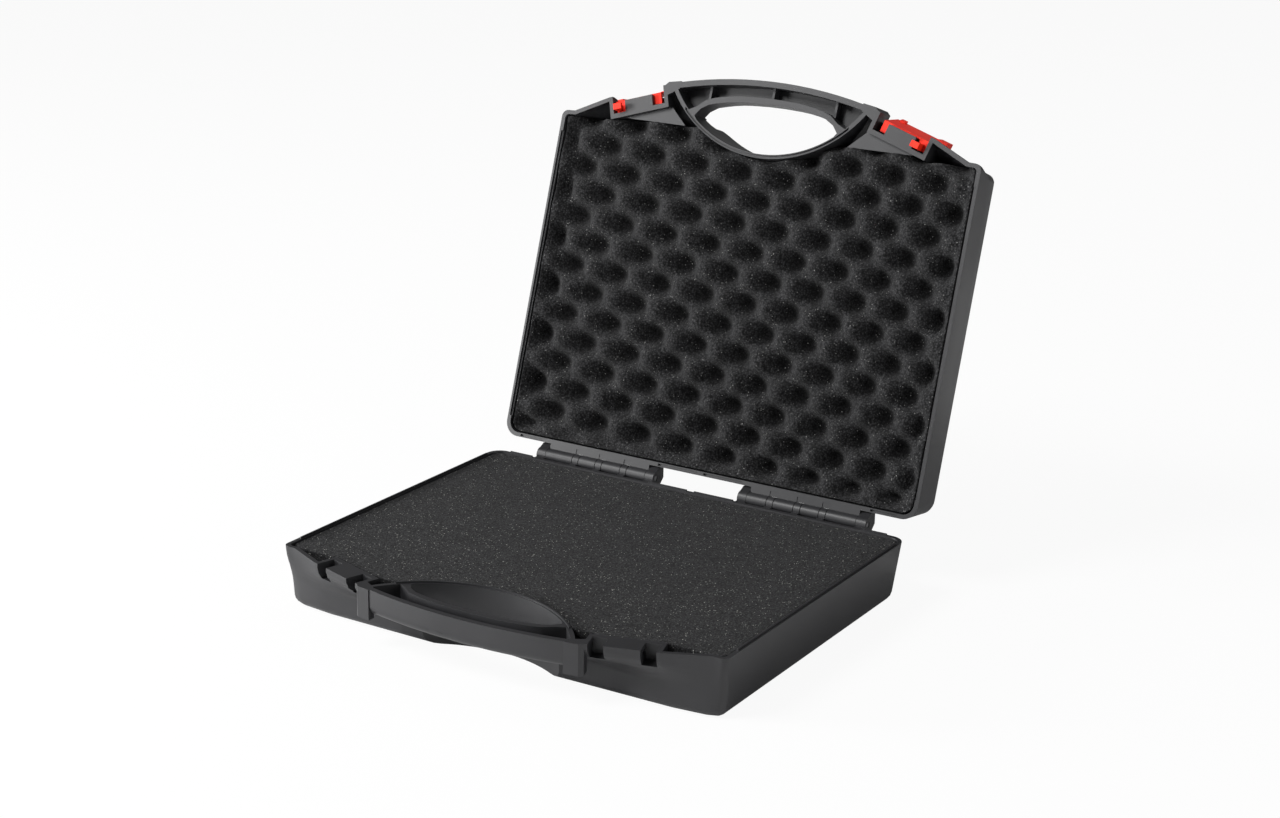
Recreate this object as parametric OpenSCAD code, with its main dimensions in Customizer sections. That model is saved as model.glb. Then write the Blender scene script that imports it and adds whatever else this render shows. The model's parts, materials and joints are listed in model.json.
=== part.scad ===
// Moulded carry case in two hollow halves, with a hand opening through both, two slide latches
// on the upper half, two pinned hinges at the back and a foam lining in each half.
// The case stands open. X runs to the right, Y to the hinges and Z up, from the floor's centre.

/* [Case] */
// Width over the rim
case_w = 340; // [310:5:380]
// Depth from the front corner line to the rear rim edge
case_d = 246; // [225:3:300]
// Height of the lower half, from floor to rim
base_h = 41.5; // [38:0.5:60]
// Height of the upper half, from rim to top
lid_h = 41.5; // [38:0.5:60]
// Angle at which the lid rests open
open_angle = 108; // [96:1:115]

/* [Walls] */
// Thickness of the walls and floors
wall = 3; // [2.5:0.1:3.4]
// How far the walls lean in between rim and floor
draft = 4.3; // [2:0.1:6]
// Corner radius at the back
rear_r = 11; // [8:0.5:16]
// Corner radius at the front
front_r = 6; // [4.5:0.5:8]
// Rounding between walls and floor
edge_r = 6; // [4:0.5:8]
// Gap between the two rims when shut
rim_gap = 0.2; // [0.1:0.05:0.4]
// Height of the sealing rib on the lower rim
rib_h = 1.2; // [0.8:0.1:1.6]
// Thickness of the sealing rib
rib_t = 1; // [0.8:0.1:1.2]
// Clearance of the sealing rib in its groove
rib_gap = 0.3; // [0.3:0.05:0.5]

/* [Handle] */
// How far the handle's crown stands forward of the front corner line
handle_reach = 40; // [37:0.5:44]
// Radius of the handle's front
handle_r = 344; // [320:4:380]
// Depth of each handle half below its rim
handle_h = 18; // [16:0.5:21]
// Radius of the rounded outer edge of the handle
handle_edge_r = 7; // [4:0.5:8]
// Front of the hand opening, forward of the front corner line
grip_front = 23.4; // [21:0.2:25]
// Radius of the hand opening's front edge
grip_r = 140; // [130:2:160]
// Back of the hand opening, behind the front corner line
grip_back = 12.3; // [10:0.3:15]
// Radius of the curved wall behind the hand opening
arch_r = 92.4; // [90:0.3:95]
// Width of the handle's rim strips
strip_w = 4.2; // [3.6:0.1:5]

/* [Latch pockets] */
// Angle of the pockets to the front
pocket_angle = 17.3; // [14:0.1:20]
// Length of a pocket over its walls
pocket_len = 49; // [47:0.5:53]
// Depth of a pocket from the case's outer face
pocket_d = 16.5; // [15.5:0.1:18]
// Distance of a pocket's inner corner from the centre line
pocket_x = 80.5; // [79:0.5:84]
// Thickness of the plate in the rim plane that the hooks hold
tab_t = 3; // [2.6:0.1:3.4]
// Depth of the plate, from the pocket's back to its free edge
tab_d = 11.9; // [11:0.1:12.5]
// Length of the plate between its notches
tab_len = 23; // [20:0.5:24]
// Depth of the open notches at the ends of the plate
notch_h = 11; // [9:0.5:14]

/* [Latches] */
// Thickness of the latch's leaning plate
latch_t = 2.8; // [2.2:0.1:3.2]
// How far the plate leans out from its legs to its far edge
latch_lean = 4.6; // [3.6:0.1:5]
// Travel between open and locked
latch_travel = 3.6; // [3:0.1:4.2]
// Clearance round the latch
latch_gap = 0.4; // [0.3:0.05:0.5]
// Height of the latch's plate in the upper half
latch_h = 22; // [20:0.5:24]
// Thickness of the hook and legs
hook_t = 2.2; // [1.8:0.1:2.6]

/* [Hinges] */
// Distance of the hinge axis behind the rear rim edge
axis_back = 8.75; // [8:0.25:10]
// Radius of the hinge barrels
barrel_r = 5; // [4.5:0.1:5.5]
// Radius of the hinge pins
pin_r = 2; // [1.5:0.1:2.4]
// Radial clearance of a pin in the lid's knuckles
pin_gap = 0.08; // [0.05:0.01:0.1]
// Gap between neighbouring knuckles
knuckle_gap = 0.5; // [0.3:0.1:0.8]
// Distance of a hinge's inner end from the centre line
hinge_x = 35; // [20:1:46]

/* [Foam] */
// Clearance between foam and wall
foam_gap = 0.5; // [0.4:0.1:1]
// How far the foams stay below the rims
foam_drop = 0.8; // [0.6:0.1:3]
// Distance between two peaks of the wavy foam in one row
wave_pitch = 37.8; // [32:0.6:44]
// Height of the waves from valley to peak
wave_h = 13; // [8:0.5:18]
// Front edge of the wavy foam, behind the front corner line
lid_foam_front = 3; // [2:0.5:5]
// Front edge of the flat foam, forward of the front corner line
base_foam_front = 9.5; // [6:0.5:11]

/* [Hidden] */
$fn = 96;

// The plan is drawn with f running forward from the front corner line
rim_front = 1.4;
corner_flat = 10.5;
front_lean = 3.5;
belt_d = 3;
flare_d = 26;
lean_d = 4;
ring_step = 3.8;
arch_f = arch_r - grip_back;
arch_wall_r = arch_r + wall;
handle_f = handle_reach - handle_r;
grip_f = grip_front - grip_r;
pocket_f = 13;
pocket_wall = 3;
pocket_back = 3.5;
handle_floor = 2.5;
handle_rib_x = 51;
handle_rib_t = 1.8;
hinge_len = 101;
axis_rise = 0.44;
rib_side = 1.6;
rib_end = 14.6;
notch_len = (pocket_len - 2 * pocket_wall - tab_len) / 2;
hook_v = [5, 9.5];
pocket_h = 21;
axis_y = case_d / 2 + axis_back;
axis_z = base_h + axis_rise;
lid_z = base_h + rim_gap;
body_black = "#3a3a3c";
foam_black = "#303031";
latch_red = "#f8301f";

function pocket_pt(u, v) = [pocket_x + u * cos(pocket_angle) + v * sin(pocket_angle),
    pocket_f - u * sin(pocket_angle) + v * cos(pocket_angle)];
function unit(v) = v / norm(v);
function mix(a, b, t) = a + (b - a) * t;
function smooth(t) = let (c = min(1, max(0, t))) c * c * (3 - 2 * c);

// Right half of the outline at depth d below the rim, from front to back
function half_plan(d, h) = let (
        s = smooth((flare_d - d) / (flare_d - belt_d)),
        lean = draft * d / h,
        side = case_w / 2 - lean,
        p1 = pocket_pt(0, pocket_d),
        p2 = pocket_pt(pocket_len, pocket_d))
    [[p1[0], mix(lean_d, p1[1], s)],
     [p2[0], mix(lean_d - 1, p2[1], s)],
     [case_w / 2 - corner_flat - (1 - s) * lean_d, mix(0.5, rim_front, s)],
     [side, mix(-front_lean, rim_front - 0.4, s)],
     [side, lean - case_d]];
function both_ways(v) = concat(v, [for (i = [len(v) - 1 : -1 : 0]) v[i]]);
function full_plan(d, h) = let (p = half_plan(d, h))
    concat(p, [for (i = [len(p) - 1 : -1 : 0]) [-p[i][0], p[i][1]]]);

// Each edge of a clockwise outline moves in by t, and the corners follow
function inset_plan(pts, t) = let (n = len(pts)) [for (i = [0 : n - 1]) let (
        e1 = unit(pts[i] - pts[(i + n - 1) % n]),
        e2 = unit(pts[(i + 1) % n] - pts[i]),
        n1 = [e1[1], -e1[0]],
        n2 = [e2[1], -e2[0]])
    pts[i] + (n1 + n2) * t / (1 + n1 * n2)];

// Arc of radius r in place of corner b, in k steps
function corner(a, b, c, r, k) = k == 0 ? [b] : let (
        ua = unit(a - b),
        uc = unit(c - b),
        half = acos(ua * uc) / 2,
        reach = min(r / tan(half), 0.45 * min(norm(a - b), norm(c - b))),
        rr = reach * tan(half),
        centre = b + unit(ua + uc) * rr / sin(half),
        from = b + ua * reach - centre,
        turn = cross([from[0], from[1], 0], [uc[0], uc[1], 0])[2] > 0 ? 1 : -1)
    [for (j = [0 : k]) let (g = turn * j * (180 - 2 * half) / k)
        centre + [from[0] * cos(g) - from[1] * sin(g), from[0] * sin(g) + from[1] * cos(g)]];
function rounded(pts, radii, steps) = let (n = len(pts)) [for (i = [0 : n - 1])
    each corner(pts[(i + n - 1) % n], pts[i], pts[(i + 1) % n], radii[i], steps[i])];
function outline(d, h, t, fine) = rounded(inset_plan(full_plan(d, h), t),
    both_ways([for (r = [0, 0, 0, front_r, rear_r]) max(0.8, r - t)]), both_ways([0, 0, 0, 3, 4] * fine));

// Heights of the rings, each with its inset: the rounded foot, then the flare up to the rim
function foot_rings(h, r, fine) = [for (a = [0 : 90 / fine / fine : 90])
    [r * (1 - cos(a)) - h, r * (1 - sin(a))]];
function wall_rings(top, step) = concat([for (d = [flare_d : -step : belt_d]) [-d, 0]], [[top, 0]]);

// Closed skin through the rings; t insets it, and floor_h is its own floor's height
module loft(h, floor_h, r, t, top, fine = 2, step = ring_step) {
    rings = [for (q = concat(foot_rings(floor_h, r, fine), wall_rings(top, step)))
        [for (p = outline(max(0, -q[0]), h, t + q[1], fine)) [p[0], p[1], q[0]]]];
    n = len(rings[0]);
    m = len(rings);
    last = (m - 1) * n;
    half = [for (i = [0 : n / 2 - 2]) i];
    polyhedron(points = [for (ring = rings) each ring], faces = concat(
        [for (i = half) [i, n - 1 - i, n - 2 - i]],
        [for (i = half) [i, n - 2 - i, i + 1]],
        [for (i = half) [last + i, last + n - 2 - i, last + n - 1 - i]],
        [for (i = half) [last + i, last + i + 1, last + n - 2 - i]],
        [for (j = [0 : m - 2], i = [0 : n - 1]) [j * n + i, j * n + (i + 1) % n, (j + 1) * n + i]],
        [for (j = [0 : m - 2], i = [0 : n - 1])
            [j * n + (i + 1) % n, (j + 1) * n + (i + 1) % n, (j + 1) * n + i]]));
}

module round_cut(r, f, h, n = 180) translate([0, f, -h]) cylinder(r = r, h = 2 * h, $fn = n);

// Block in a right-hand pocket's own directions: u outward along it, v forward, z up
module in_pocket(u, v, z) translate([pocket_x, pocket_f, 0]) rotate([0, 0, -pocket_angle])
    translate([u[0], v[0], z[0]]) cube([u[1] - u[0], v[1] - v[0], z[1] - z[0]]);
module both_hands() {
    children();
    mirror([1, 0, 0]) children();
}

// The handle's front is one turned rim with a rounded lower edge
module handle_disc(r, h, edge) translate([0, handle_f, 0]) rotate_extrude($fn = 360) {
    translate([0, -h]) square([r - edge, h]);
    translate([0, edge - h]) square([r, h - edge]);
    translate([r - edge, edge - h]) circle(r = edge, $fn = 48);
}
module grip_hole(h) intersection() {
    round_cut(arch_r, arch_f, 2 * h);
    union() {
        round_cut(grip_r, grip_f, 2 * h);
        translate([0, grip_f, -2 * h]) cylinder(r = grip_r + 3, h = 2 * h - handle_h + handle_floor, $fn = 180);
    }
}
module handle() difference() {
    intersection() {
        handle_disc(handle_r, handle_h, handle_edge_r);
        round_cut(arch_r + wall / 2, arch_f, handle_h + 1);
    }
    grip_hole(handle_h);
    difference() {
        intersection() {
            translate([0, handle_f, 2 * handle_floor - handle_h])
                cylinder(r = handle_r - strip_w, h = handle_h, $fn = 360);
            round_cut(arch_r, arch_f, handle_h + 1);
        }
        round_cut(grip_r + strip_w, grip_f, handle_h + 1);
        for (x = [-handle_rib_x, 0, handle_rib_x]) translate([x - handle_rib_t / 2, 0, -handle_h])
            cube([handle_rib_t, handle_reach, handle_h - 2 * belt_d]);
    }
}

// Upright block at each end of the handle
module post() translate([pocket_x, pocket_f, -handle_h - wall])
    linear_extrude(height = handle_h + wall)
        polygon([[-6.5, 14], [-6.5, 19.6], [3.3, 18], [5.9, 15.4], [3.5, 8], [-1.5, 11]]);

// Shell with its rim at z = 0 and its floor below
module half_shell(h, is_base) difference() {
    union() {
        difference() {
            loft(h, h, edge_r, 0, 0);
            round_cut(arch_r, arch_f, h + 1);
            difference() {
                loft(h, h - wall, edge_r - wall, wall, 1);
                round_cut(arch_wall_r, arch_f, h + 1);
                both_hands() in_pocket([0, pocket_len], [0, pocket_d + 2], [-pocket_h, 2]);
            }
        }
        handle();
        both_hands() post();
    }
    both_hands() pocket_cuts(is_base);
}

// What is cut from the pocket block. Both halves have the two notches beside the plate. The upper
// half has the latch's recess and the slot for its legs, and the lower half takes the hook
module pocket_cuts(is_base) {
    u0 = pocket_wall;
    u1 = pocket_len - pocket_wall;
    front = pocket_d + 12;
    tab_end = u1 - notch_len;
    slot = hook_t + 2 * latch_gap;
    in_pocket([tab_end, u1], [pocket_back, front], [-notch_h, 1]);
    in_pocket([u0, u0 + notch_len], [pocket_back, front], [-notch_h, 1]);
    if (is_base) {
        in_pocket([tab_end - latch_travel - latch_gap, tab_end + 1],
            [hook_v[0] - latch_gap, hook_v[1] + latch_gap], [-tab_t - slot, -tab_t]);
    } else {
        in_pocket([u0, u1], [tab_d, front], [-flare_d, 1]);
        in_pocket([u0, u1], [pocket_back, front], [-tab_t - slot, -tab_t]);
    }
}

// Sealing rib on the rim, grown by the clearance for its groove
module rib(grow) {
    side = case_w / 2 - rib_side;
    z = [grow > 0 ? -1 : 0, rib_h + grow];
    t = rib_t + 2 * grow;
    both_hands() {
        translate([side - t, rib_end - case_d, z[0]])
            cube([t, case_d - 2 * rib_end, z[1] - z[0]]);
        for (x = [[wall, hinge_x], [hinge_x + hinge_len, case_w / 2 - rib_end]])
            translate([x[0] - grow, wall / 2 - t / 2 - case_d, z[0]])
                cube([x[1] - x[0] + 2 * grow, t, z[1] - z[0]]);
    }
    intersection() {
        difference() {
            translate([0, arch_f, z[0]]) cylinder(r = arch_r + wall / 2 + t / 2, h = z[1] - z[0], $fn = 180);
            translate([0, arch_f, z[0] - 1])
                cylinder(r = arch_r + wall / 2 - t / 2, h = z[1] - z[0] + 2, $fn = 180);
        }
        translate([-66 - grow, -20, -2]) cube([132 + 2 * grow, 50, 5]);
    }
}

// Knuckles as spans along X on the right-hand hinge
function from_inner(spans) = [for (s = spans) [hinge_x + s[0], hinge_x + s[1]]];
base_rings = from_inner([[23, 28.5], [44.5, 50], [64.5, 70]]);
cheeks = from_inner([[0, 7], [93.5, hinge_len]]);
lid_rings = from_inner([[7, 23], [28.5, 44.5], [50, 64.5], [70, 93.5]]);

module barrel(span, gap) translate([span[0] + gap, axis_y, axis_z]) rotate([0, 90, 0])
    cylinder(r = barrel_r, h = span[1] - span[0] - 2 * gap);
// Quarter disc that closes the gap between a base ring and the lid's back wall
module ring_ear(span, gap) intersection() {
    translate([span[0] + gap, axis_y, axis_z]) rotate([0, 90, 0])
        cylinder(r = axis_back - knuckle_gap, h = span[1] - span[0] - 2 * gap);
    translate([span[0], axis_y - axis_back, axis_z])
        cube([span[1] - span[0], axis_back, axis_back]);
}
module pin_hole(r) both_hands() translate([hinge_x - 1, axis_y, axis_z]) rotate([0, 90, 0])
    cylinder(r = r, h = hinge_len + 2);

// Web from a half's back wall to the barrel
module web(span, gap, z) translate([span[0] + gap, case_d / 2 - wall + 0.4, z[0]])
    cube([span[1] - span[0] - 2 * gap, axis_back + wall - 0.4, z[1] - z[0]]);

// End plate of a hinge, whose raised tail stops the lid
module cheek(span) translate([span[0], axis_y, axis_z]) rotate([90, 0, 90])
    linear_extrude(height = span[1] - span[0]) {
        polygon([[-axis_back - wall + 0.4, -1], [-axis_back - wall + 0.4, -14], [-axis_back, -14],
            [5, -7], [10.6, -2], [10.6, 6.1], [4.5, 7.2], [0, 5], [-barrel_r, 0.5], [-barrel_r, -1]]);
        circle(r = barrel_r);
    }

module base_shell() color(body_black) difference() {
    union() {
        translate([0, -case_d / 2, base_h]) mirror([0, 1, 0]) half_shell(base_h, true);
        translate([0, -case_d / 2, base_h]) mirror([0, 1, 0]) rib(0);
        both_hands() {
            for (s = base_rings) {
                barrel(s, knuckle_gap / 2);
                ring_ear(s, knuckle_gap / 2);
                web(s, knuckle_gap / 2, [base_h - 5, base_h]);
            }
            for (s = cheeks) cheek(s);
        }
    }
    pin_hole(pin_r + pin_gap / 4);
}

// The upper half shut, before it is turned open
module shut_lid() difference() {
    union() {
        difference() {
            translate([0, -case_d / 2, lid_z]) mirror([0, 1, 0]) mirror([0, 0, 1])
                half_shell(lid_h, false);
            translate([0, -case_d / 2, base_h]) mirror([0, 1, 0]) rib(rib_gap);
        }
        both_hands() for (s = lid_rings) {
            barrel(s, knuckle_gap / 2);
            web(s, knuckle_gap / 2, [lid_z, lid_z + 4.5]);
        }
    }
    pin_hole(pin_r + pin_gap);
}
module opened() translate([0, axis_y, axis_z]) rotate([-open_angle, 0, 0])
    translate([0, -axis_y, -axis_z]) children();

module lid_shell() color(body_black) opened() shut_lid();

module hinge_pin_right() color("#8c8c90") translate([hinge_x + 0.5, axis_y, axis_z])
    rotate([0, 90, 0]) cylinder(r = pin_r, h = hinge_len - 1);
module hinge_pin_left() mirror([1, 0, 0]) hinge_pin_right();

// Slide latch shut and unlocked: a plate that leans out over the recess with a thumb rib and an
// end grip, two legs in the slot behind the upper half's plate, and a hook for the lower half's
module shut_latch() {
    v0 = tab_d + latch_gap;
    u0 = pocket_wall + latch_travel + latch_gap;
    u1 = pocket_len - pocket_wall - latch_gap;
    low = rim_gap + tab_t + latch_gap;
    leg_z = [low, low + hook_t];
    top = rim_gap + latch_h;
    toe = -tab_t - latch_gap;
    toe_u = u1 + latch_gap - notch_len + latch_gap;
    hook_u = toe_u + latch_travel;
    leg = notch_len - 3;
    far = v0 + latch_lean;
    grip_len = 8;
    grip_h = 9;
    translate([0, -case_d / 2, base_h]) mirror([0, 1, 0]) {
        leaning_plate([u0, u1], [v0, v0, far - latch_t, far, v0 + 0.6],
            [low, low + hook_t + 2, top, top, low]);
        leaning_plate([u0 + 3.5, u0 + 8], [far - 1, far - 1, far + 1.6, far + 0.4],
            [top - 4, top, top, top - 4]);
        leaning_plate([u1 - 1, u1 + grip_len], [far - latch_t - 1, far - latch_t - 0.3, far + 1, far],
            [top - grip_h, top, top, top - grip_h]);
        in_pocket([u0, u0 + leg], [pocket_back + 1, v0 + 0.4], leg_z);
        in_pocket([u1 - 1 - leg, u1 - 1], [pocket_back + 1, v0 + 0.4], leg_z);
        in_pocket([hook_u, hook_u + 3], hook_v, [toe - hook_t, low + 1]);
        in_pocket([toe_u, hook_u + 3], hook_v, [toe - hook_t, toe]);
    }
}
// Prism along a right-hand pocket, from its section's points
module leaning_plate(u, vs, zs) translate([pocket_x, pocket_f, 0]) rotate([0, 0, -pocket_angle])
    translate([u[0], 0, 0]) rotate([90, 0, 90]) linear_extrude(height = u[1] - u[0])
        polygon([for (i = [0 : len(vs) - 1]) [vs[i], zs[i]]]);
module latch_right() color(latch_red) opened() shut_latch();
module latch_left() mirror([1, 0, 0]) latch_right();

// Wavy foam: a block with a grid of waves on top, trimmed to its sides and its curved front
wave_x = -104;
wave_f = -76;
function wave(x, f) = cos(360 * (x - wave_x) / wave_pitch) * cos(360 * (f - wave_f) / wave_pitch);
module wave_foam() difference() {
    intersection() {
        wave_block();
        lining(lid_h, 1, flare_d);
    }
    round_cut(arch_wall_r + foam_gap, arch_f, lid_h, 60);
    translate([-case_w, -lid_foam_front, -2 * lid_h]) cube([2 * case_w, handle_reach, 3 * lid_h]);
}
// The space inside a half, up to the given height over the rim, in rings as far apart as step
module lining(h, top, step)
    loft(h, h - wall - foam_gap, edge_r - wall, wall + foam_gap, top, 1, step);

// Grid of a quarter pitch, so that each peak and valley falls on a point, over four low corners
module wave_block() {
    step = wave_pitch / 4;
    xs = grid_line(-case_w / 2, case_w / 2, wave_x, step);
    fs = grid_line(-case_d, -lid_foam_front, wave_f, step);
    low = -lid_h;
    nx = len(xs) - 1;
    rows = len(fs);
    ny = rows - 1;
    mid = -foam_drop - wave_h / 2;
    n = len(xs) * rows;
    polyhedron(points = concat(
        [for (x = xs, f = fs) [x, f, mid - wave(x, f) * wave_h / 2]],
        [[xs[0], fs[0], low], [xs[0], fs[ny], low], [xs[nx], fs[ny], low], [xs[nx], fs[0], low]]),
        faces = concat(
        [for (i = [0 : nx - 1], j = [0 : ny - 1]) let (a = i * rows + j) [a, a + 1, a + rows + 1]],
        [for (i = [0 : nx - 1], j = [0 : ny - 1]) let (a = i * rows + j) [a, a + rows + 1, a + rows]],
        [for (j = [0 : ny - 1]) [n, j + 1, j]],
        [[n, n + 1, ny]],
        [for (j = [0 : ny - 1]) [n + 3, nx * rows + j, nx * rows + j + 1]],
        [[n + 3, nx * rows + ny, n + 2]],
        [for (i = [0 : nx - 1]) [n, i * rows, (i + 1) * rows]],
        [[n, nx * rows, n + 3]],
        [for (i = [0 : nx - 1]) [n + 1, (i + 1) * rows + ny, i * rows + ny]],
        [[n + 1, n + 2, nx * rows + ny]],
        [[n, n + 3, n + 2], [n, n + 2, n + 1]]));
}
function grid_line(from, to, phase, step) =
    [for (k = [floor((from - 1 - phase) / step) : ceil((to + 1 - phase) / step)]) phase + k * step];
module lid_foam() color(foam_black) opened() translate([0, -case_d / 2, lid_z]) mirror([0, 1, 0])
    mirror([0, 0, 1]) wave_foam();

// Flat foam that fills the lower half
module base_foam() color(foam_black) translate([0, -case_d / 2, base_h]) mirror([0, 1, 0]) difference() {
    lining(base_h, -foam_drop, ring_step);
    round_cut(arch_wall_r + foam_gap, arch_f, base_h, 90);
    translate([-case_w, base_foam_front, -2 * base_h]) cube([2 * case_w, handle_reach, 3 * base_h]);
    both_hands() in_pocket([-foam_gap, pocket_len + 30], [-foam_gap, pocket_d + 12],
        [-pocket_h - foam_gap, 1]);
}

base_shell();
lid_shell();
hinge_pin_left();
hinge_pin_right();
latch_left();
latch_right();
lid_foam();
base_foam();
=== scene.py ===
import json
import math

import bmesh
import bpy
import numpy as np
from mathutils import Matrix, Vector


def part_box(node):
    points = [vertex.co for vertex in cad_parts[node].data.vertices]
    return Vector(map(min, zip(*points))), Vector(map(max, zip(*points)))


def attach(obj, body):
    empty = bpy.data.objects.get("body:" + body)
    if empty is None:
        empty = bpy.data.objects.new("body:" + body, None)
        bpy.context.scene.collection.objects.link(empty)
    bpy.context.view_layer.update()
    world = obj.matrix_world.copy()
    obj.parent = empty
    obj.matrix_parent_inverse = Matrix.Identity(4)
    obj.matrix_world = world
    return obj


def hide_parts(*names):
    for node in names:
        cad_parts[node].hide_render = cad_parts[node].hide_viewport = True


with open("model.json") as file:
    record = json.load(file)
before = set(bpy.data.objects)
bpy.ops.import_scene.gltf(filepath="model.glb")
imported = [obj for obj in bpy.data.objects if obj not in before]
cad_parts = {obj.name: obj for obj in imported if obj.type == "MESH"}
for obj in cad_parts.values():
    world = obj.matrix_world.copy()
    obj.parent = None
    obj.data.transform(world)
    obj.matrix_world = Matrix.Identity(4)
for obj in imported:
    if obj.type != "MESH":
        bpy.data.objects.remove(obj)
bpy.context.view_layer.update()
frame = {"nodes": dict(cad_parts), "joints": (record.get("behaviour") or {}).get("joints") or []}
print("frame loaded:", ", ".join(sorted(frame["nodes"])))

mm = 0.001


def hexColour(text, alpha=1.0):
    # sRGB hex to linear: each channel goes through the standard sRGB curve
    values = [int(text[i:i + 2], 16) / 255 for i in (1, 3, 5)]
    linear = [v / 12.92 if v <= 0.04045 else ((v + 0.055) / 1.055) ** 2.4 for v in values]
    return (*linear, alpha)


# Camera, worked out from the rim corners of both halves
cameraSettings = {
    "place": (0.7988, -1.2630, 0.6057),
    "right": (0.85113, 0.52462, 0.01863),
    "up": (-0.17263, 0.24620, 0.95372),
    "back": (0.49576, -0.81496, 0.30011),
    "lens": 66.74,
    "sensor": 36.0,
}


def makeCamera(c):
    data = bpy.data.cameras.new("camera")
    data.lens = c["lens"]
    data.sensor_width = c["sensor"]
    data.clip_end = 20
    camera = bpy.data.objects.new("camera", data)
    turn = Matrix((c["right"], c["up"], c["back"])).transposed().to_4x4()
    camera.matrix_world = Matrix.Translation(c["place"]) @ turn
    bpy.context.scene.collection.objects.link(camera)
    bpy.context.scene.camera = camera


makeCamera(cameraSettings)
print("camera placed")


def addNode(tree, kind, settings=None, links=None):
    # settings: property or input name to value; links: input name to an output socket
    node = tree.nodes.new(kind)
    for key, value in (settings or {}).items():
        if isinstance(key, str) and hasattr(node, key):
            setattr(node, key, value)
        else:
            node.inputs[key].default_value = value
    for key, socket in (links or {}).items():
        tree.links.new(socket, node.inputs[key])
    return node


def startMaterial(name):
    material = bpy.data.materials.new(name)
    material.use_nodes = True
    tree = material.node_tree
    tree.nodes.clear()
    shader = addNode(tree, "ShaderNodeBsdfPrincipled")
    addNode(tree, "ShaderNodeOutputMaterial", links={"Surface": shader.outputs["BSDF"]})
    return material, tree, shader


def colourRamp(tree, factor, stops):
    # stops: place between 0 and 1, and the colour there
    ramp = addNode(tree, "ShaderNodeValToRGB", links={"Fac": factor})
    elements = ramp.color_ramp.elements
    while len(elements) < len(stops):
        elements.new(0.5)
    for element, (place, colour) in zip(elements, stops):
        element.position = place
        element.color = colour
    return ramp.outputs["Color"]


def twoStops(c):
    # A look's dark and light colours at the two places of its ramp
    return list(zip(c["ramp"], (hexColour(c["dark"]), hexColour(c["light"]))))


# Black polypropylene, injection moulded in a spark-eroded tool: a satin black with a fine,
# even grain that breaks up the highlights, and faint lighter rubbing in broad clouds
casePlasticLook = {
    "dark": "#242426", "light": "#2d2d2f", "ramp": (0.3, 0.7), "roughness": (0.36, 0.5),
    "ior": 1.49, "grainMm": 0.55, "grainDepthMm": 0.018, "grainStrength": 0.6, "cloudMm": 60,
}


def casePlastic(c):
    material, tree, shader = startMaterial("mouldedPolypropylene")
    place = addNode(tree, "ShaderNodeTexCoord").outputs["Object"]
    clouds = addNode(tree, "ShaderNodeTexNoise", {"Scale": 1 / (c["cloudMm"] * mm), "Detail": 5.0,
                     "Roughness": 0.6}, {"Vector": place}).outputs["Fac"]
    colour = colourRamp(tree, clouds, twoStops(c))
    tree.links.new(colour, shader.inputs["Base Color"])
    grain = addNode(tree, "ShaderNodeTexNoise", {"Scale": 1 / (c["grainMm"] * mm), "Detail": 2.0,
                    "Roughness": 0.5}, {"Vector": place}).outputs["Fac"]
    rough = addNode(tree, "ShaderNodeMapRange", {"To Min": c["roughness"][0],
                    "To Max": c["roughness"][1]}, {"Value": clouds}).outputs["Result"]
    tree.links.new(rough, shader.inputs["Roughness"])
    bump = addNode(tree, "ShaderNodeBump", {"Strength": c["grainStrength"],
                   "Distance": c["grainDepthMm"] * mm}, {"Height": grain}).outputs["Normal"]
    tree.links.new(bump, shader.inputs["Normal"])
    shader.inputs["IOR"].default_value = c["ior"]
    return material


# Red acetal, moulded: a warm saturated red with a soft sheen
latchLook = {
    "dark": "#f2200c", "light": "#ff3216", "ramp": (0.3, 0.7), "roughness": 0.5, "ior": 1.48,
    "specular": 0.22, "grainMm": 0.4, "grainDepthMm": 0.01, "grainStrength": 0.4, "cloudMm": 12,
}


def latchPlastic(c):
    material, tree, shader = startMaterial("mouldedRedAcetal")
    place = addNode(tree, "ShaderNodeTexCoord").outputs["Object"]
    clouds = addNode(tree, "ShaderNodeTexNoise", {"Scale": 1 / (c["cloudMm"] * mm), "Detail": 3.0},
                     {"Vector": place}).outputs["Fac"]
    colour = colourRamp(tree, clouds, twoStops(c))
    tree.links.new(colour, shader.inputs["Base Color"])
    grain = addNode(tree, "ShaderNodeTexNoise", {"Scale": 1 / (c["grainMm"] * mm), "Detail": 2.0},
                    {"Vector": place}).outputs["Fac"]
    bump = addNode(tree, "ShaderNodeBump", {"Strength": c["grainStrength"],
                   "Distance": c["grainDepthMm"] * mm}, {"Height": grain}).outputs["Normal"]
    tree.links.new(bump, shader.inputs["Normal"])
    shader.inputs["Roughness"].default_value = c["roughness"]
    shader.inputs["IOR"].default_value = c["ior"]
    shader.inputs["Specular IOR Level"].default_value = c["specular"]
    return material


# Drawn steel wire: grey metal with fine scratches along the pin
pinLook = {
    "dark": "#8a8a8c", "light": "#a3a3a5", "ramp": (0.3, 0.7), "roughness": (0.28, 0.45),
    "scratchMm": 0.3, "stretch": 0.05,
}


def pinSteel(c):
    material, tree, shader = startMaterial("drawnSteelWire")
    place = addNode(tree, "ShaderNodeTexCoord").outputs["Object"]
    stretch = addNode(tree, "ShaderNodeMapping", {"Scale": (c["stretch"], 1.0, 1.0)},
                      {"Vector": place})
    lines = addNode(tree, "ShaderNodeTexNoise", {"Scale": 1 / (c["scratchMm"] * mm),
                    "Detail": 3.0}, {"Vector": stretch.outputs["Vector"]}).outputs["Fac"]
    rough = addNode(tree, "ShaderNodeMapRange", {"To Min": c["roughness"][0],
                    "To Max": c["roughness"][1]}, {"Value": lines})
    tree.links.new(rough.outputs["Result"], shader.inputs["Roughness"])
    tree.links.new(colourRamp(tree, lines, twoStops(c)), shader.inputs["Base Color"])
    shader.inputs["Metallic"].default_value = 1.0
    return material


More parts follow.
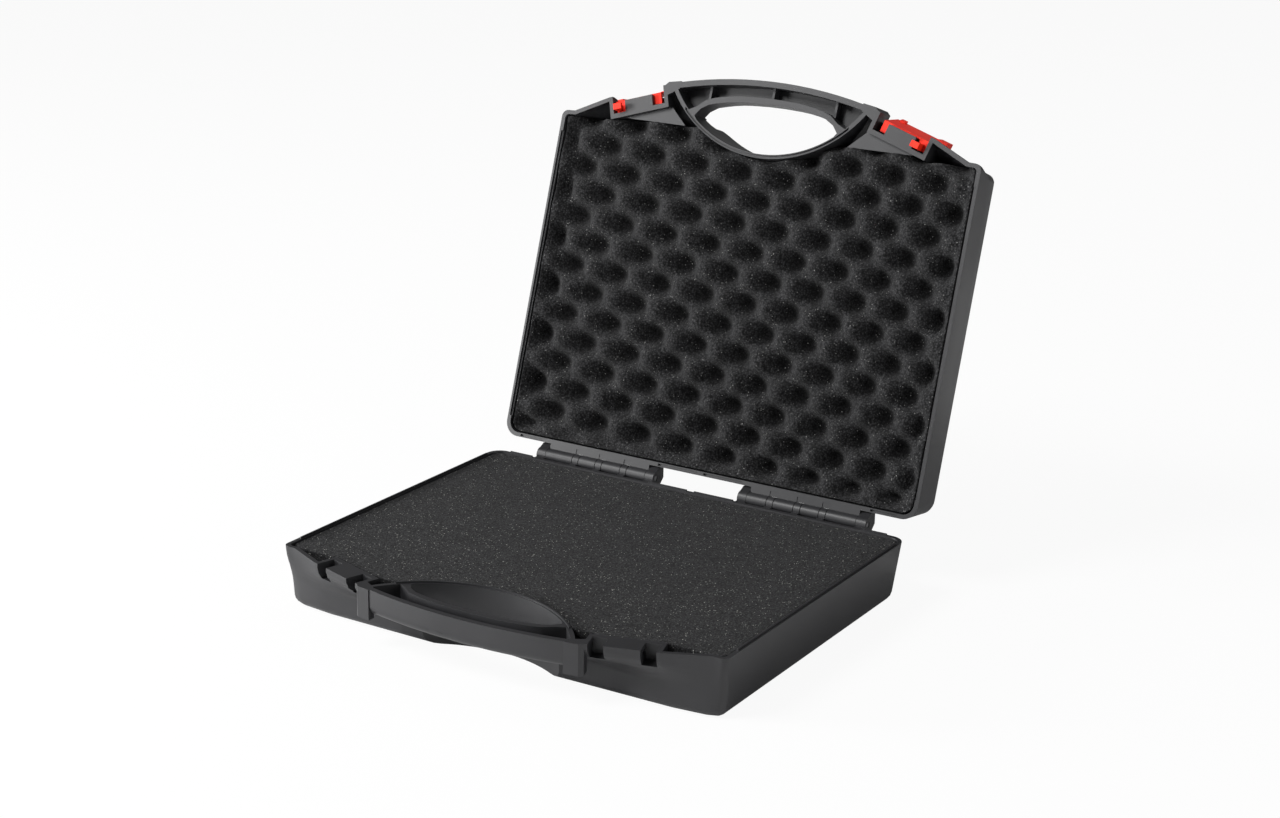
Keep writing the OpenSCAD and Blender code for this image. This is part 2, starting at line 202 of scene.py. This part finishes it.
# Open-cell polyurethane foam, dyed through: matt charcoal made of tiny cells, where some cell
# walls catch the light as pale specks and the pores between stay nearly black. The real cells
# are finer than 1 mm, and these are drawn as coarse as they need to show
foamFinish = {
    "poreRamp": (0.15, 0.75), "patch": (0.86, 1.1), "patchFrom": (0.3, 0.7), "valleyShadeFrom": 0.45,
    "bumpMm": 0.5, "roughness": 0.95, "specular": 0.12, "sheen": 0.04, "sheenRoughness": 0.6,
}


def foamMaterial(name, look):
    c = {**foamFinish, **look}
    material, tree, shader = startMaterial(name)
    place = addNode(tree, "ShaderNodeTexCoord").outputs["Object"]
    cells = addNode(tree, "ShaderNodeTexVoronoi", {"feature": "F1", "Scale": 1 / (c["cellMm"] * mm),
                    "Randomness": 1.0}, {"Vector": place})
    specks = addNode(tree, "ShaderNodeTexVoronoi", {"feature": "F1",
                     "Scale": 1 / (c["speckMm"] * mm)}, {"Vector": place})
    clouds = addNode(tree, "ShaderNodeTexNoise", {"Scale": 1 / (c["cloudMm"] * mm), "Detail": 4.0},
                     {"Vector": place}).outputs["Fac"]
    middle, wall = c["poreRamp"]
    tone = colourRamp(tree, cells.outputs["Distance"],
                      [(middle, hexColour(c["light"])), (wall, hexColour(c["dark"]))])
    patch = addNode(tree, "ShaderNodeMapRange",
                    {"From Min": c["patchFrom"][0], "From Max": c["patchFrom"][1],
                     "To Min": c["patch"][0], "To Max": c["patch"][1]},
                    {"Value": clouds}).outputs["Result"]
    # Painted shade: valleys are darker than peaks, standing in for the shade that falls in them
    depth = addNode(tree, "ShaderNodeAttribute", {"attribute_name": "depth"}).outputs["Fac"]
    # Painted shade: full brightness down to a set depth, then darker towards the valley floor
    valleyShade = addNode(tree, "ShaderNodeMapRange", {"From Min": c["valleyShadeFrom"], "To Min": c["peak"],
                   "To Max": c["valley"]}, {"Value": depth}).outputs["Result"]
    level = addNode(tree, "ShaderNodeMath", {"operation": "MULTIPLY"}, {0: patch, 1: valleyShade})
    # Each cell has its own tone, and so has each speck
    cellTone = addNode(tree, "ShaderNodeSeparateColor", links={"Color": cells.outputs["Color"]})
    varied = addNode(tree, "ShaderNodeMapRange", {"To Min": 1 - c["cellVariation"],
                     "To Max": 1 + c["cellVariation"]}, {"Value": cellTone.outputs["Red"]})
    level = addNode(tree, "ShaderNodeMath", {"operation": "MULTIPLY"},
                    {0: level.outputs[0], 1: varied.outputs["Result"]})
    base = addNode(tree, "ShaderNodeVectorMath", {"operation": "SCALE"},
                   {0: tone, "Scale": level.outputs[0]})
    # One random value of a cell picks the few that catch the light, another says how brightly
    picked = addNode(tree, "ShaderNodeSeparateColor", links={"Color": specks.outputs["Color"]})
    chosen = addNode(tree, "ShaderNodeMath", {"operation": "GREATER_THAN", 1: 1 - c["speckShare"]},
                     {0: picked.outputs["Red"]})
    core = addNode(tree, "ShaderNodeMath", {"operation": "LESS_THAN", 1: c["speckCore"]},
                   {0: specks.outputs["Distance"]})
    shown = addNode(tree, "ShaderNodeMath", {"operation": "MULTIPLY"},
                    {0: chosen.outputs[0], 1: core.outputs[0]})
    glint = addNode(tree, "ShaderNodeMath", {"operation": "MULTIPLY"},
                    {0: shown.outputs[0], 1: picked.outputs["Green"]})
    # A Mix node's colours are its inputs 6 and 7, and its result in colour is output 2
    mixed = addNode(tree, "ShaderNodeMix", {"data_type": "RGBA"}, {0: glint.outputs[0]})
    tree.links.new(base.outputs["Vector"], mixed.inputs[6])
    mixed.inputs[7].default_value = hexColour(c["speck"])
    tree.links.new(mixed.outputs[2], shader.inputs["Base Color"])
    bump = addNode(tree, "ShaderNodeBump", {"Strength": c["bump"], "Distance": c["bumpMm"] * mm},
                   {"Height": cells.outputs["Distance"]})
    bump.invert = True
    tree.links.new(bump.outputs["Normal"], shader.inputs["Normal"])
    shader.inputs["Roughness"].default_value = c["roughness"]
    shader.inputs["Specular IOR Level"].default_value = c["specular"]
    shader.inputs["Sheen Weight"].default_value = c["sheen"]
    shader.inputs["Sheen Roughness"].default_value = c["sheenRoughness"]
    return material


plasticMaterial = casePlastic(casePlasticLook)
latchMaterial = latchPlastic(latchLook)
pinMaterial = pinSteel(pinLook)
print("materials made")


def setMaterial(piece, material):
    piece.data.materials.clear()
    piece.data.materials.append(material)


# Where the lid turns, from the frame: shut points are made first and then turned open
hinge = next(j for j in frame["joints"] if j["name"] == "lid_hinge")
axisY, axisZ = hinge["pos_m"][1], hinge["pos_m"][2]
openAngle = math.radians(hinge["range_deg"][1])
frontLineY = -123 * mm  # front corner line of both halves


def turnLid(points, angle):
    # Rotation about the hinge line: y and z measured from it, turned by the angle
    y, z = points[..., 1] - axisY, points[..., 2] - axisZ
    cos, sin = math.cos(angle), math.sin(angle)
    return np.stack([points[..., 0], axisY + y * cos - z * sin, axisZ + y * sin + z * cos], axis=-1)


def meshPoints(mesh):
    points = np.zeros(len(mesh.vertices) * 3, np.float32)
    mesh.vertices.foreach_get("co", points)
    return points.reshape(-1, 3).astype(float)


def faceOutwards(mesh):
    work = bmesh.new()
    work.from_mesh(mesh)
    bmesh.ops.recalc_face_normals(work, faces=work.faces)
    work.to_mesh(mesh)
    work.free()


def addPiece(name, mesh):
    piece = bpy.data.objects.new(name, mesh)
    bpy.context.scene.collection.objects.link(piece)
    return piece


# Moulded pieces: the CAD mesh merged into one skin, with its small edges rounded
mouldedFinish = {
    "mergeMm": 0.02, "flatAngle": 1.2, "sharpAngle": 32, "bevelAngle": 38, "bevelSegments": 2,
}
mouldedSettings = {
    "base_shell": {"name": "baseMoulding", "body": "base", "slot": "case_plastic", "edgeMm": 0.45},
    "lid_shell": {"name": "lidMoulding", "body": "lid", "slot": "case_plastic", "edgeMm": 0.45},
    "latch_left": {"name": "leftLatch", "body": "latch_left", "slot": "latch_plastic",
                   "edgeMm": 0.5},
    "latch_right": {"name": "rightLatch", "body": "latch_right", "slot": "latch_plastic",
                    "edgeMm": 0.5},
}


# Knuckles of the base: their places along x on the right, and sizes round the hinge line, with
# the section of the lid's webs behind them as y and z from that line
knuckleSettings = {
    "startsMm": (58.0, 79.5, 99.5), "widthMm": 5.5, "radiusMm": 5.0, "earMm": 8.4,
    "slackMm": (-0.01, 0.1), "webYMm": (-9.05, -5.06), "webZMm": (0.06, 4.3), "overlapMm": 0.3,
}


def roundKnuckles(points, c):
    # The ears on the base's knuckles are drawn in to the barrel, which is all the photograph
    # shows: each point above and before the hinge line keeps its angle and gets the radius
    y, z = points[:, 1] - axisY, points[:, 2] - axisZ
    reach = np.hypot(y, z)
    radius, ear = c["radiusMm"] * mm, c["earMm"] * mm
    lowest, rearmost = (slack * mm for slack in c["slackMm"])
    upper = (z > lowest) & (y < rearmost) & (reach > radius) & (reach < ear)
    x = np.abs(points[:, 0])
    for start in c["startsMm"]:
        picked = upper & (x > start * mm) & (x < (start + c["widthMm"]) * mm)
        scale = radius / reach[picked]
        points[picked, 1] = axisY + y[picked] * scale
        points[picked, 2] = axisZ + z[picked] * scale
    return points


# Where a latch's plate meets its legs, measured from the pocket's inner corner on the rim
latchPlateSettings = {
    "cornerMm": (80.5, 13.0), "angle": 17.3, "innerMm": 12.3, "slackMm": 0.1,
    "zMm": (45.0, 49.6), "growMm": 0.8,
}


def thickenLatch(points, c):
    # The foot of the plate reaches back over the lid's tab, so that no light shows between them:
    # the points of its inner face, at one distance out from the pocket's line, move inwards
    side = np.sign(points[:, 0])
    x, f = np.abs(points[:, 0]) - c["cornerMm"][0] * mm, frontLineY - points[:, 1]
    angle = math.radians(c["angle"])
    sin, cos = math.sin(angle), math.cos(angle)
    out = x * sin + (f - c["cornerMm"][1] * mm) * cos
    low, high = c["zMm"]
    picked = (np.abs(out - c["innerMm"] * mm) < c["slackMm"] * mm) & (points[:, 2] > low * mm)
    picked &= points[:, 2] < high * mm
    points[picked, 0] -= side[picked] * sin * c["growMm"] * mm
    points[picked, 1] += cos * c["growMm"] * mm
    return points


# Front edge of the hand opening: centre and radii of its strip, and how far it is eased forward
gripSettings = {
    "centreMm": -116.6, "radiiMm": (139.4, 144.8), "acrossMm": 59.0,
    "easeMm": ((0, 14, 26, 43, 48, 52.4, 57, 60), (0, 0.4, 1.4, 2.6, 3.1, 2.4, 0.2, 0)),
    "cornerMm": (60.1, 9.9), "cornerReachMm": 1.2, "cornerMoveMm": (-2.2, -0.5),
}


def easeGrip(points, c):
    # The strip, which lies between two circles, bulges at its shoulders, and its corners are drawn
    # in, so that the opening is rounded
    x, f = np.abs(points[:, 0]), frontLineY - points[:, 1]
    reach = np.hypot(x, f - c["centreMm"] * mm)
    near, far = c["radiiMm"]
    strip = (reach > near * mm) & (reach < far * mm) & (x < c["acrossMm"] * mm) & (f > 0)
    points[strip, 1] -= np.interp(x[strip] / mm, *c["easeMm"]) * mm
    corner = np.hypot(x - c["cornerMm"][0] * mm, f - c["cornerMm"][1] * mm)
    corner = corner < c["cornerReachMm"] * mm
    points[corner, 0] += np.sign(points[corner, 0]) * c["cornerMoveMm"][0] * mm
    points[corner, 1] -= c["cornerMoveMm"][1] * mm
    return points


# Ends of the sealing rib at the sides of the base
ribEndSettings = {
    "yMm": 108.4, "slackMm": 0.05, "outsideMm": 165.0, "aboveMm": 41.6, "shortenMm": 0.35,
}


def shortenRib(points, c):
    # The rib stops a little before the groove's ends, so that the two don't touch when shut
    fromEnd = np.abs(np.abs(points[:, 1]) - c["yMm"] * mm)
    end = (fromEnd < c["slackMm"] * mm) & (points[:, 2] > c["aboveMm"] * mm)
    end &= np.abs(points[:, 0]) > c["outsideMm"] * mm
    points[end, 1] -= np.sign(points[end, 1]) * c["shortenMm"] * mm
    return points


def reshape(mesh, onLid, changes):
    # The changes work on the shut case, so a piece of the lid is turned shut and back
    points = meshPoints(mesh)
    if onLid:
        points = turnLid(points, openAngle)
    for change, c in changes:
        points = change(points, c)
    if onLid:
        points = turnLid(points, -openAngle)
    mesh.vertices.foreach_set("co", points.astype(np.float32).ravel())


# What is changed in each copy
reshaping = {
    "base_shell": [(roundKnuckles, knuckleSettings), (easeGrip, gripSettings),
                   (shortenRib, ribEndSettings)],
    "lid_shell": [(easeGrip, gripSettings)],
    "latch_left": [(thickenLatch, latchPlateSettings)],
    "latch_right": [(thickenLatch, latchPlateSettings)],
}


def mouldedPiece(node, settings, material):
    c = {**mouldedFinish, **settings}
    mesh = frame["nodes"][node].data.copy()
    mesh.name = c["name"]
    reshape(mesh, c["body"] != "base", reshaping[node])
    piece = addPiece(c["name"], mesh)
    work = bmesh.new()
    work.from_mesh(mesh)
    bmesh.ops.remove_doubles(work, verts=work.verts, dist=c["mergeMm"] * mm)
    bmesh.ops.dissolve_limit(work, angle_limit=math.radians(c["flatAngle"]), verts=work.verts,
                             edges=work.edges, delimit=set())
    bmesh.ops.recalc_face_normals(work, faces=work.faces)
    work.to_mesh(mesh)
    work.free()
    for name in list(mesh.attributes.keys()):
        if name.startswith("custom_normal") or name == "sharp_edge":
            mesh.attributes.remove(mesh.attributes[name])
    mesh.shade_smooth()
    mesh.set_sharp_from_angle(angle=math.radians(c["sharpAngle"]))
    bevel = piece.modifiers.new("roundedEdges", "BEVEL")
    bevel.width = c["edgeMm"] * mm
    bevel.segments = c["bevelSegments"]
    bevel.limit_method = "ANGLE"
    bevel.angle_limit = math.radians(c["bevelAngle"])
    bevel.use_clamp_overlap = True
    bevel.harden_normals = True
    setMaterial(piece, material)
    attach(piece, c["body"])
    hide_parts(node)
    return piece


def lidPrisms(name, outlines, span):
    # Each outline has four corners and is carried along span into a block of eight. The blocks
    # are placed on the shut case and then turned open with the lid
    near = np.array(outlines)
    blocks = np.concatenate([near, near + span], axis=1)
    block = np.array([(0, 1, 2, 3), (4, 5, 6, 7), (0, 1, 5, 4), (1, 2, 6, 5), (2, 3, 7, 6),
                      (3, 0, 4, 7)])
    faces = block[None] + 8 * np.arange(len(blocks))[:, None, None]
    points = turnLid(blocks.reshape(-1, 3), -openAngle)
    mesh = bpy.data.meshes.new(name)
    mesh.from_pydata(points.tolist(), [], faces.reshape(-1, 4).tolist())
    faceOutwards(mesh)
    piece = addPiece(name, mesh)
    setMaterial(piece, plasticMaterial)
    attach(piece, "lid")
    return piece


def lidWebs(c):
    # The lid's webs run on past the base's knuckles, from the back wall to just short of them
    near, far = (axisY + v * mm for v in c["webYMm"])
    low, high = (axisZ + v * mm for v in c["webZMm"])
    overlap, width = c["overlapMm"] * mm, c["widthMm"] * mm
    starts = [x * mm for x in c["startsMm"]] + [-x * mm - width for x in c["startsMm"]]
    outlines = [[(x - overlap, y, z) for y, z in
                 ((near, low), (far, low), (far, high), (near, high))] for x in starts]
    lidPrisms("lidHingeWebs", outlines, (width + 2 * overlap, 0, 0))


# Ledges in the lid between the pockets and the foam, in plan: x to the right and f forward of
# the front corner line
ledgeSettings = {
    "outlineMm": ((66.0, 1.2), (79.4, 13.4), (117.0, 1.9), (115.0, 1.2)), "depthMm": 3.6,
    "thickMm": 1.5,
}


def lidLedges(c):
    z = axisZ + c["depthMm"] * mm
    outlines = [[(side * x * mm, frontLineY - f * mm, z) for x, f in c["outlineMm"]]
                for side in (1, -1)]
    lidPrisms("lidLedges", outlines, (0, 0, c["thickMm"] * mm))


for node, c in mouldedSettings.items():
    mouldedPiece(node, c, latchMaterial if "latch" in node else plasticMaterial)
lidWebs(knuckleSettings)
lidLedges(ledgeSettings)
for node in ("hinge_pin_left", "hinge_pin_right"):
    setMaterial(frame["nodes"][node], pinMaterial)
print("moulded pieces made")

edgeSteps = (0.0, 0.12, 0.35, 0.65, 1.0)  # places over a rounded edge, as shares of its width


def spacing(length, step, edge):
    # Places along a line from 0 to 1: close steps over the rounded edges, even steps between them
    near = np.array(edgeSteps) * edge
    count = int(round((length - 4 * edge) / step))
    return np.concatenate([near, np.linspace(2 * edge, length - 2 * edge, count),
                           length - near[::-1]]) / length


def roundedDrop(distance, radius):
    # Quarter circle: full drop at the edge, none once the distance reaches the radius
    reach = radius - np.clip(distance, 0, radius)
    return radius - np.sqrt(np.maximum(radius ** 2 - reach ** 2, 0))


foamSharpAngle = 60  # degrees past which a foam's edge is drawn sharp


def closedBlock(name, top, low, depth):
    # Two grids of columns by rows, joined round their border. The depth of each point of the
    # upper grid, from 0 on a peak to 1 in a valley, is kept for the material
    columns, rows = top.shape[:2]
    count = columns * rows
    index = np.arange(count).reshape(columns, rows)
    upper = np.stack([index[:-1, :-1], index[1:, :-1], index[1:, 1:], index[:-1, 1:]], -1)
    lower = upper[..., ::-1] + count
    border = np.concatenate([index[0, :-1], index[:-1, -1], index[-1, :0:-1], index[:0:-1, 0]])
    following = np.roll(border, -1)
    walls = np.stack([border, following, following + count, border + count], -1)
    faces = np.concatenate([upper.reshape(-1, 4), lower.reshape(-1, 4), walls])
    mesh = bpy.data.meshes.new(name)
    points = np.concatenate([top.reshape(-1, 3), low.reshape(-1, 3)])
    mesh.from_pydata(points.tolist(), [], faces.tolist())
    shade = mesh.attributes.new("depth", "FLOAT", "POINT")
    shade.data.foreach_set("value", np.concatenate([depth.ravel(), np.ones(count)])
                           .astype(np.float32))
    faceOutwards(mesh)
    mesh.shade_smooth()
    mesh.set_sharp_from_angle(angle=math.radians(foamSharpAngle))
    return addPiece(name, mesh)


def smoothNoise(shape, seed, passes):
    # Even random values, averaged with their neighbours a few times and brought back to -1..1
    field = np.random.default_rng(seed).uniform(-1, 1, shape)
    for _ in range(passes):
        for axis in (0, 1):
            field = (np.roll(field, 1, axis) + 2 * field + np.roll(field, -1, axis)) / 4
    return field / np.abs(field).max()


# Egg-crate foam in the lid. In plan, x runs to the right and f forward of the front corner line
# peak and valley give the brightness of the painted valley shade on the peaks and in the valleys
lidFoamLook = {
    "light": "#343435", "dark": "#121213", "speck": "#8a8a88", "peak": 1.0, "valley": 0.3,
    "cellMm": 1.3, "cellVariation": 0.55, "speckMm": 1.1, "speckShare": 0.06, "speckCore": 0.34,
    "cloudMm": 9, "bump": 0.6,
}
lidFoamSettings = {
    "stepMm": 1.8, "edgeMm": 1.2, "waveMm": 15.5, "sharpness": 1.15,
    "pitchMm": (35.7, 36.9), "valleyMm": (2.4, -8.4), "skew": (0.053, 0.051), "bowMm": 3.5,
    "bowAtMm": 100,
    "archRadiusMm": 95.9, "archCentreMm": 80.1,
    "rearCornerMm": 8.0, "borderMm": 9.0, "borderShare": 0.08, "wallLean": 0.104,
    "frontMm": ((0, 116, 126, 160, 166), (1.9, 1.3, -1.6, -1.2, -3.5)), "footFrontMm": -3.0,
    "footInsetMm": 5.5, "noiseMm": 0.28, "seed": 11,
}


def archLine(x, c):
    # Curved edge behind the hand opening: a circle's back half, far forward where it ends
    radius, centre = c["archRadiusMm"] * mm, c["archCentreMm"] * mm
    inside = np.sqrt(np.maximum(radius ** 2 - x ** 2, 0))
    return np.where(np.abs(x) < radius, centre - inside, centre)


def lidFoam(c, look):
    # Grid of x across the lid by t, which runs from 0 on the rear line to 1 on the front line. The
    # top is the wave's surface and the underside a smaller flat grid on the lid's floor
    shut = turnLid(meshPoints(frame["nodes"]["lid_foam"].data), openAngle)
    low, high = shut.min(0), shut.max(0)
    side, rimZ, floorZ = high[0], low[2], high[2]
    front, rear = frontLineY - low[1], frontLineY - high[1]
    x = (2 * spacing(2 * side, c["stepMm"] * mm, c["edgeMm"] * mm) - 1) * side
    frontLine = np.minimum(archLine(x, c), np.interp(np.abs(x) / mm, *c["frontMm"]) * mm)
    rearLine = rear + roundedDrop(side - np.abs(x), c["rearCornerMm"] * mm)
    t = spacing(front - rear, c["stepMm"] * mm, c["edgeMm"] * mm)
    f = rearLine[:, None] + t[None, :] * (frontLine - rearLine)[:, None]
    xx = np.repeat(x[:, None], len(t), axis=1)
    # Product of two cosines, a valley at the named point, raised so that valleys are narrower.
    # The cut runs a little askew to the case, and it bows by bowMm at bowAtMm from the middle
    bow = c["bowMm"] * mm * (xx / (c["bowAtMm"] * mm)) ** 2
    across = (xx + c["skew"][0] * f + bow - c["valleyMm"][0] * mm) / (c["pitchMm"][0] * mm)
    along = (f + c["skew"][1] * xx - c["valleyMm"][1] * mm) / (c["pitchMm"][1] * mm)
    wave = np.cos(2 * math.pi * across) * np.cos(2 * math.pi * along)
    valley = ((1 + wave) / 2) ** c["sharpness"]
    edge = np.minimum(side - np.abs(xx), f - rearLine[:, None])
    # The waves fade towards the sides and the back, where the cut sheet was trimmed
    fade = np.clip(edge / (c["borderMm"] * mm), 0, 1)
    valley *= c["borderShare"] + (1 - c["borderShare"]) * fade * fade * (3 - 2 * fade)
    edge = np.minimum(edge, frontLine[:, None] - f)
    drop = valley * c["waveMm"] * mm + roundedDrop(edge, c["edgeMm"] * mm)
    drop += (1 + smoothNoise(xx.shape, c["seed"], 1)) / 2 * c["noiseMm"] * mm
    # The walls lean in with depth, and the sheet follows them
    lean = c["wallLean"] * drop
    topX = xx * (1 - lean / side)
    topF = f + lean * (1 - t[None, :])
    top = turnLid(np.stack([topX, frontLineY - topF, rimZ + drop], -1), -openAngle)
    inset = c["footInsetMm"] * mm
    underX = xx * (1 - inset / side)
    footLine = np.minimum(frontLine, c["footFrontMm"] * mm)
    underF = (rearLine + inset)[:, None] + t[None, :] * (footLine - rearLine - inset)[:, None]
    under = turnLid(np.stack([underX, frontLineY - underF, np.full_like(xx, floorZ)], -1),
                    -openAngle)
    piece = closedBlock("eggCrateFoam", top, under, valley)
    setMaterial(piece, foamMaterial("eggCrateFoamBlack", look))
    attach(piece, "lid")
    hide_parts("lid_foam")
    return piece


lidFoam(lidFoamSettings, lidFoamLook)
print("egg-crate foam made")

# Flat foam in the base, whose outline follows the walls, the pockets and the hand opening
baseFoamLook = {
    "light": "#383839", "dark": "#161617", "speck": "#b4b4ae", "peak": 1.0, "valley": 1.0,
    "cellMm": 1.1, "cellVariation": 0.4, "speckMm": 0.95, "speckShare": 0.08, "speckCore": 0.36,
    "cloudMm": 14, "bump": 0.4,
}
baseFoamSettings = {
    "stepMm": 2.0, "edgeMm": 1.0, "frontMm": 9.5, "archRadiusMm": 95.9, "archCentreMm": 80.1,
    "pocketStartMm": 80.35, "pocketFrontMm": 12.52, "pocketAngle": 17.3,
    "cornerFrontMm": -3.0, "frontCornerMm": 7.0, "rearCornerMm": 8.0, "footInsetMm": 5.5,
    "footFrontMm": -6.0, "noiseMm": 0.22, "seed": 23,
}


def baseFoam(c, look):
    # The same grid of x by t, with a flat top and a smaller flat underside on the base's floor
    low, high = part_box("base_foam")
    side, topZ, floorZ = high[0], high[2], low[2]
    rear = frontLineY - high[1]
    x = (2 * spacing(2 * side, c["stepMm"] * mm, c["edgeMm"] * mm) - 1) * side
    slope = math.tan(math.radians(c["pocketAngle"]))
    pocket = c["pocketFrontMm"] * mm - (np.abs(x) - c["pocketStartMm"] * mm) * slope
    pocket = np.maximum(pocket, c["cornerFrontMm"] * mm)  # beyond the pocket, out to the corner
    inward = side - np.abs(x)
    frontLine = np.minimum(np.minimum(archLine(x, c), pocket), c["frontMm"] * mm)
    frontLine = frontLine - roundedDrop(inward, c["frontCornerMm"] * mm)
    rearLine = rear + roundedDrop(inward, c["rearCornerMm"] * mm)
    t = spacing(-rear, c["stepMm"] * mm, c["edgeMm"] * mm)
    f = rearLine[:, None] + t[None, :] * (frontLine - rearLine)[:, None]
    xx = np.repeat(x[:, None], len(t), axis=1)
    edge = np.minimum(np.minimum(side - np.abs(xx), f - rearLine[:, None]),
                      frontLine[:, None] - f)
    drop = roundedDrop(edge, c["edgeMm"] * mm)
    drop += (1 + smoothNoise(xx.shape, c["seed"], 1)) / 2 * c["noiseMm"] * mm
    top = np.stack([xx, frontLineY - f, topZ - drop], -1)
    # The foot stands in from the walls, which lean, and behind the flare of the front
    inset = c["footInsetMm"] * mm
    footLine = np.minimum(frontLine, c["footFrontMm"] * mm) - inset / 2
    underF = (rearLine + inset)[:, None] + t[None, :] * (footLine - rearLine - inset)[:, None]
    under = np.stack([xx * (1 - inset / side), frontLineY - underF, np.full_like(xx, floorZ)], -1)
    piece = closedBlock("flatFoam", top, under, np.zeros_like(xx))
    setMaterial(piece, foamMaterial("flatFoamBlack", look))
    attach(piece, "base")
    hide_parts("base_foam")
    return piece


baseFoam(baseFoamSettings, baseFoamLook)
print("flat foam made")

# Pale studio: a white floor that keeps a soft shadow, a white world and four soft lamps
studio = {
    "floorSize": 12.0, "floorDropMm": 0.3, "floorWhite": 0.9, "cameraShare": 0.93,
    "world": 0.17, "glossyWorld": 0.14, "aim": (0, 0.05, 0.12),
    "lamps": [
        {"name": "keyLamp", "place": (-1.0, -1.35, 1.85), "size": 1.0, "power": 42},
        {"name": "leftLamp", "place": (-1.9, -1.1, 0.42), "size": 0.8, "power": 62},
        {"name": "sideLamp", "place": (2.0, -0.5, 0.42), "size": 0.8, "power": 8},
        {"name": "backLamp", "place": (0.0, 1.7, 1.9), "size": 1.4, "power": 6},
    ],
}


def makeFloor(c):
    # The camera sees the matt floor mixed with plain white, and all other rays see it matt
    half = c["floorSize"] / 2
    mesh = bpy.data.meshes.new("floor")
    corners = [(-half, -half, 0), (half, -half, 0), (half, half, 0), (-half, half, 0)]
    mesh.from_pydata(corners, [], [(0, 1, 2, 3)])
    mesh.transform(Matrix.Translation((0, 0, -c["floorDropMm"] * mm)))
    floor = addPiece("floor", mesh)
    material = bpy.data.materials.new("paleFloor")
    material.use_nodes = True
    tree = material.node_tree
    tree.nodes.clear()
    white = c["floorWhite"]
    matt = addNode(tree, "ShaderNodeBsdfDiffuse", {"Color": (white, white, white, 1)})
    glow = addNode(tree, "ShaderNodeEmission", {"Color": (1, 1, 1, 1), "Strength": 1.0})
    path = addNode(tree, "ShaderNodeLightPath")
    share = addNode(tree, "ShaderNodeMath", {"operation": "MULTIPLY", 1: c["cameraShare"]},
                    {0: path.outputs["Is Camera Ray"]})
    mix = addNode(tree, "ShaderNodeMixShader", links={0: share.outputs[0]})
    tree.links.new(matt.outputs[0], mix.inputs[1])
    tree.links.new(glow.outputs[0], mix.inputs[2])
    addNode(tree, "ShaderNodeOutputMaterial", links={"Surface": mix.outputs[0]})
    setMaterial(floor, material)


def makeWorld(c):
    # The camera sees white, reflections see glossyWorld and everything else is lit by world
    world = bpy.data.worlds.new("studio")
    bpy.context.scene.world = world
    world.use_nodes = True
    tree = world.node_tree
    tree.nodes.clear()
    path = addNode(tree, "ShaderNodeLightPath")
    level = addNode(tree, "ShaderNodeMix", {"data_type": "FLOAT", 2: c["world"], 3: c["glossyWorld"]},
                    {0: path.outputs["Is Glossy Ray"]})
    seen = addNode(tree, "ShaderNodeMath", {"operation": "MAXIMUM"},
                   {0: path.outputs["Is Camera Ray"], 1: path.outputs["Is Transmission Ray"]})
    strength = addNode(tree, "ShaderNodeMix", {"data_type": "FLOAT", 3: 1.0},
                       {0: seen.outputs[0], 2: level.outputs[0]})
    sky = addNode(tree, "ShaderNodeBackground", {"Color": (1, 1, 1, 1)},
                  {"Strength": strength.outputs[0]})
    addNode(tree, "ShaderNodeOutputWorld", links={"Surface": sky.outputs[0]})


def makeLamp(c, target):
    data = bpy.data.lights.new(c["name"], "AREA")
    data.shape = "DISK"
    data.size = c["size"]
    data.energy = c["power"]
    lamp = bpy.data.objects.new(c["name"], data)
    lamp.location = c["place"]
    aim = Vector(target) - Vector(c["place"])
    lamp.rotation_euler = aim.to_track_quat("-Z", "Y").to_euler()
    bpy.context.scene.collection.objects.link(lamp)


makeFloor(studio)
makeWorld(studio)
for lampSettings in studio["lamps"]:
    makeLamp(lampSettings, studio["aim"])
bpy.context.scene.view_settings.view_transform = "Standard"
print("studio made")
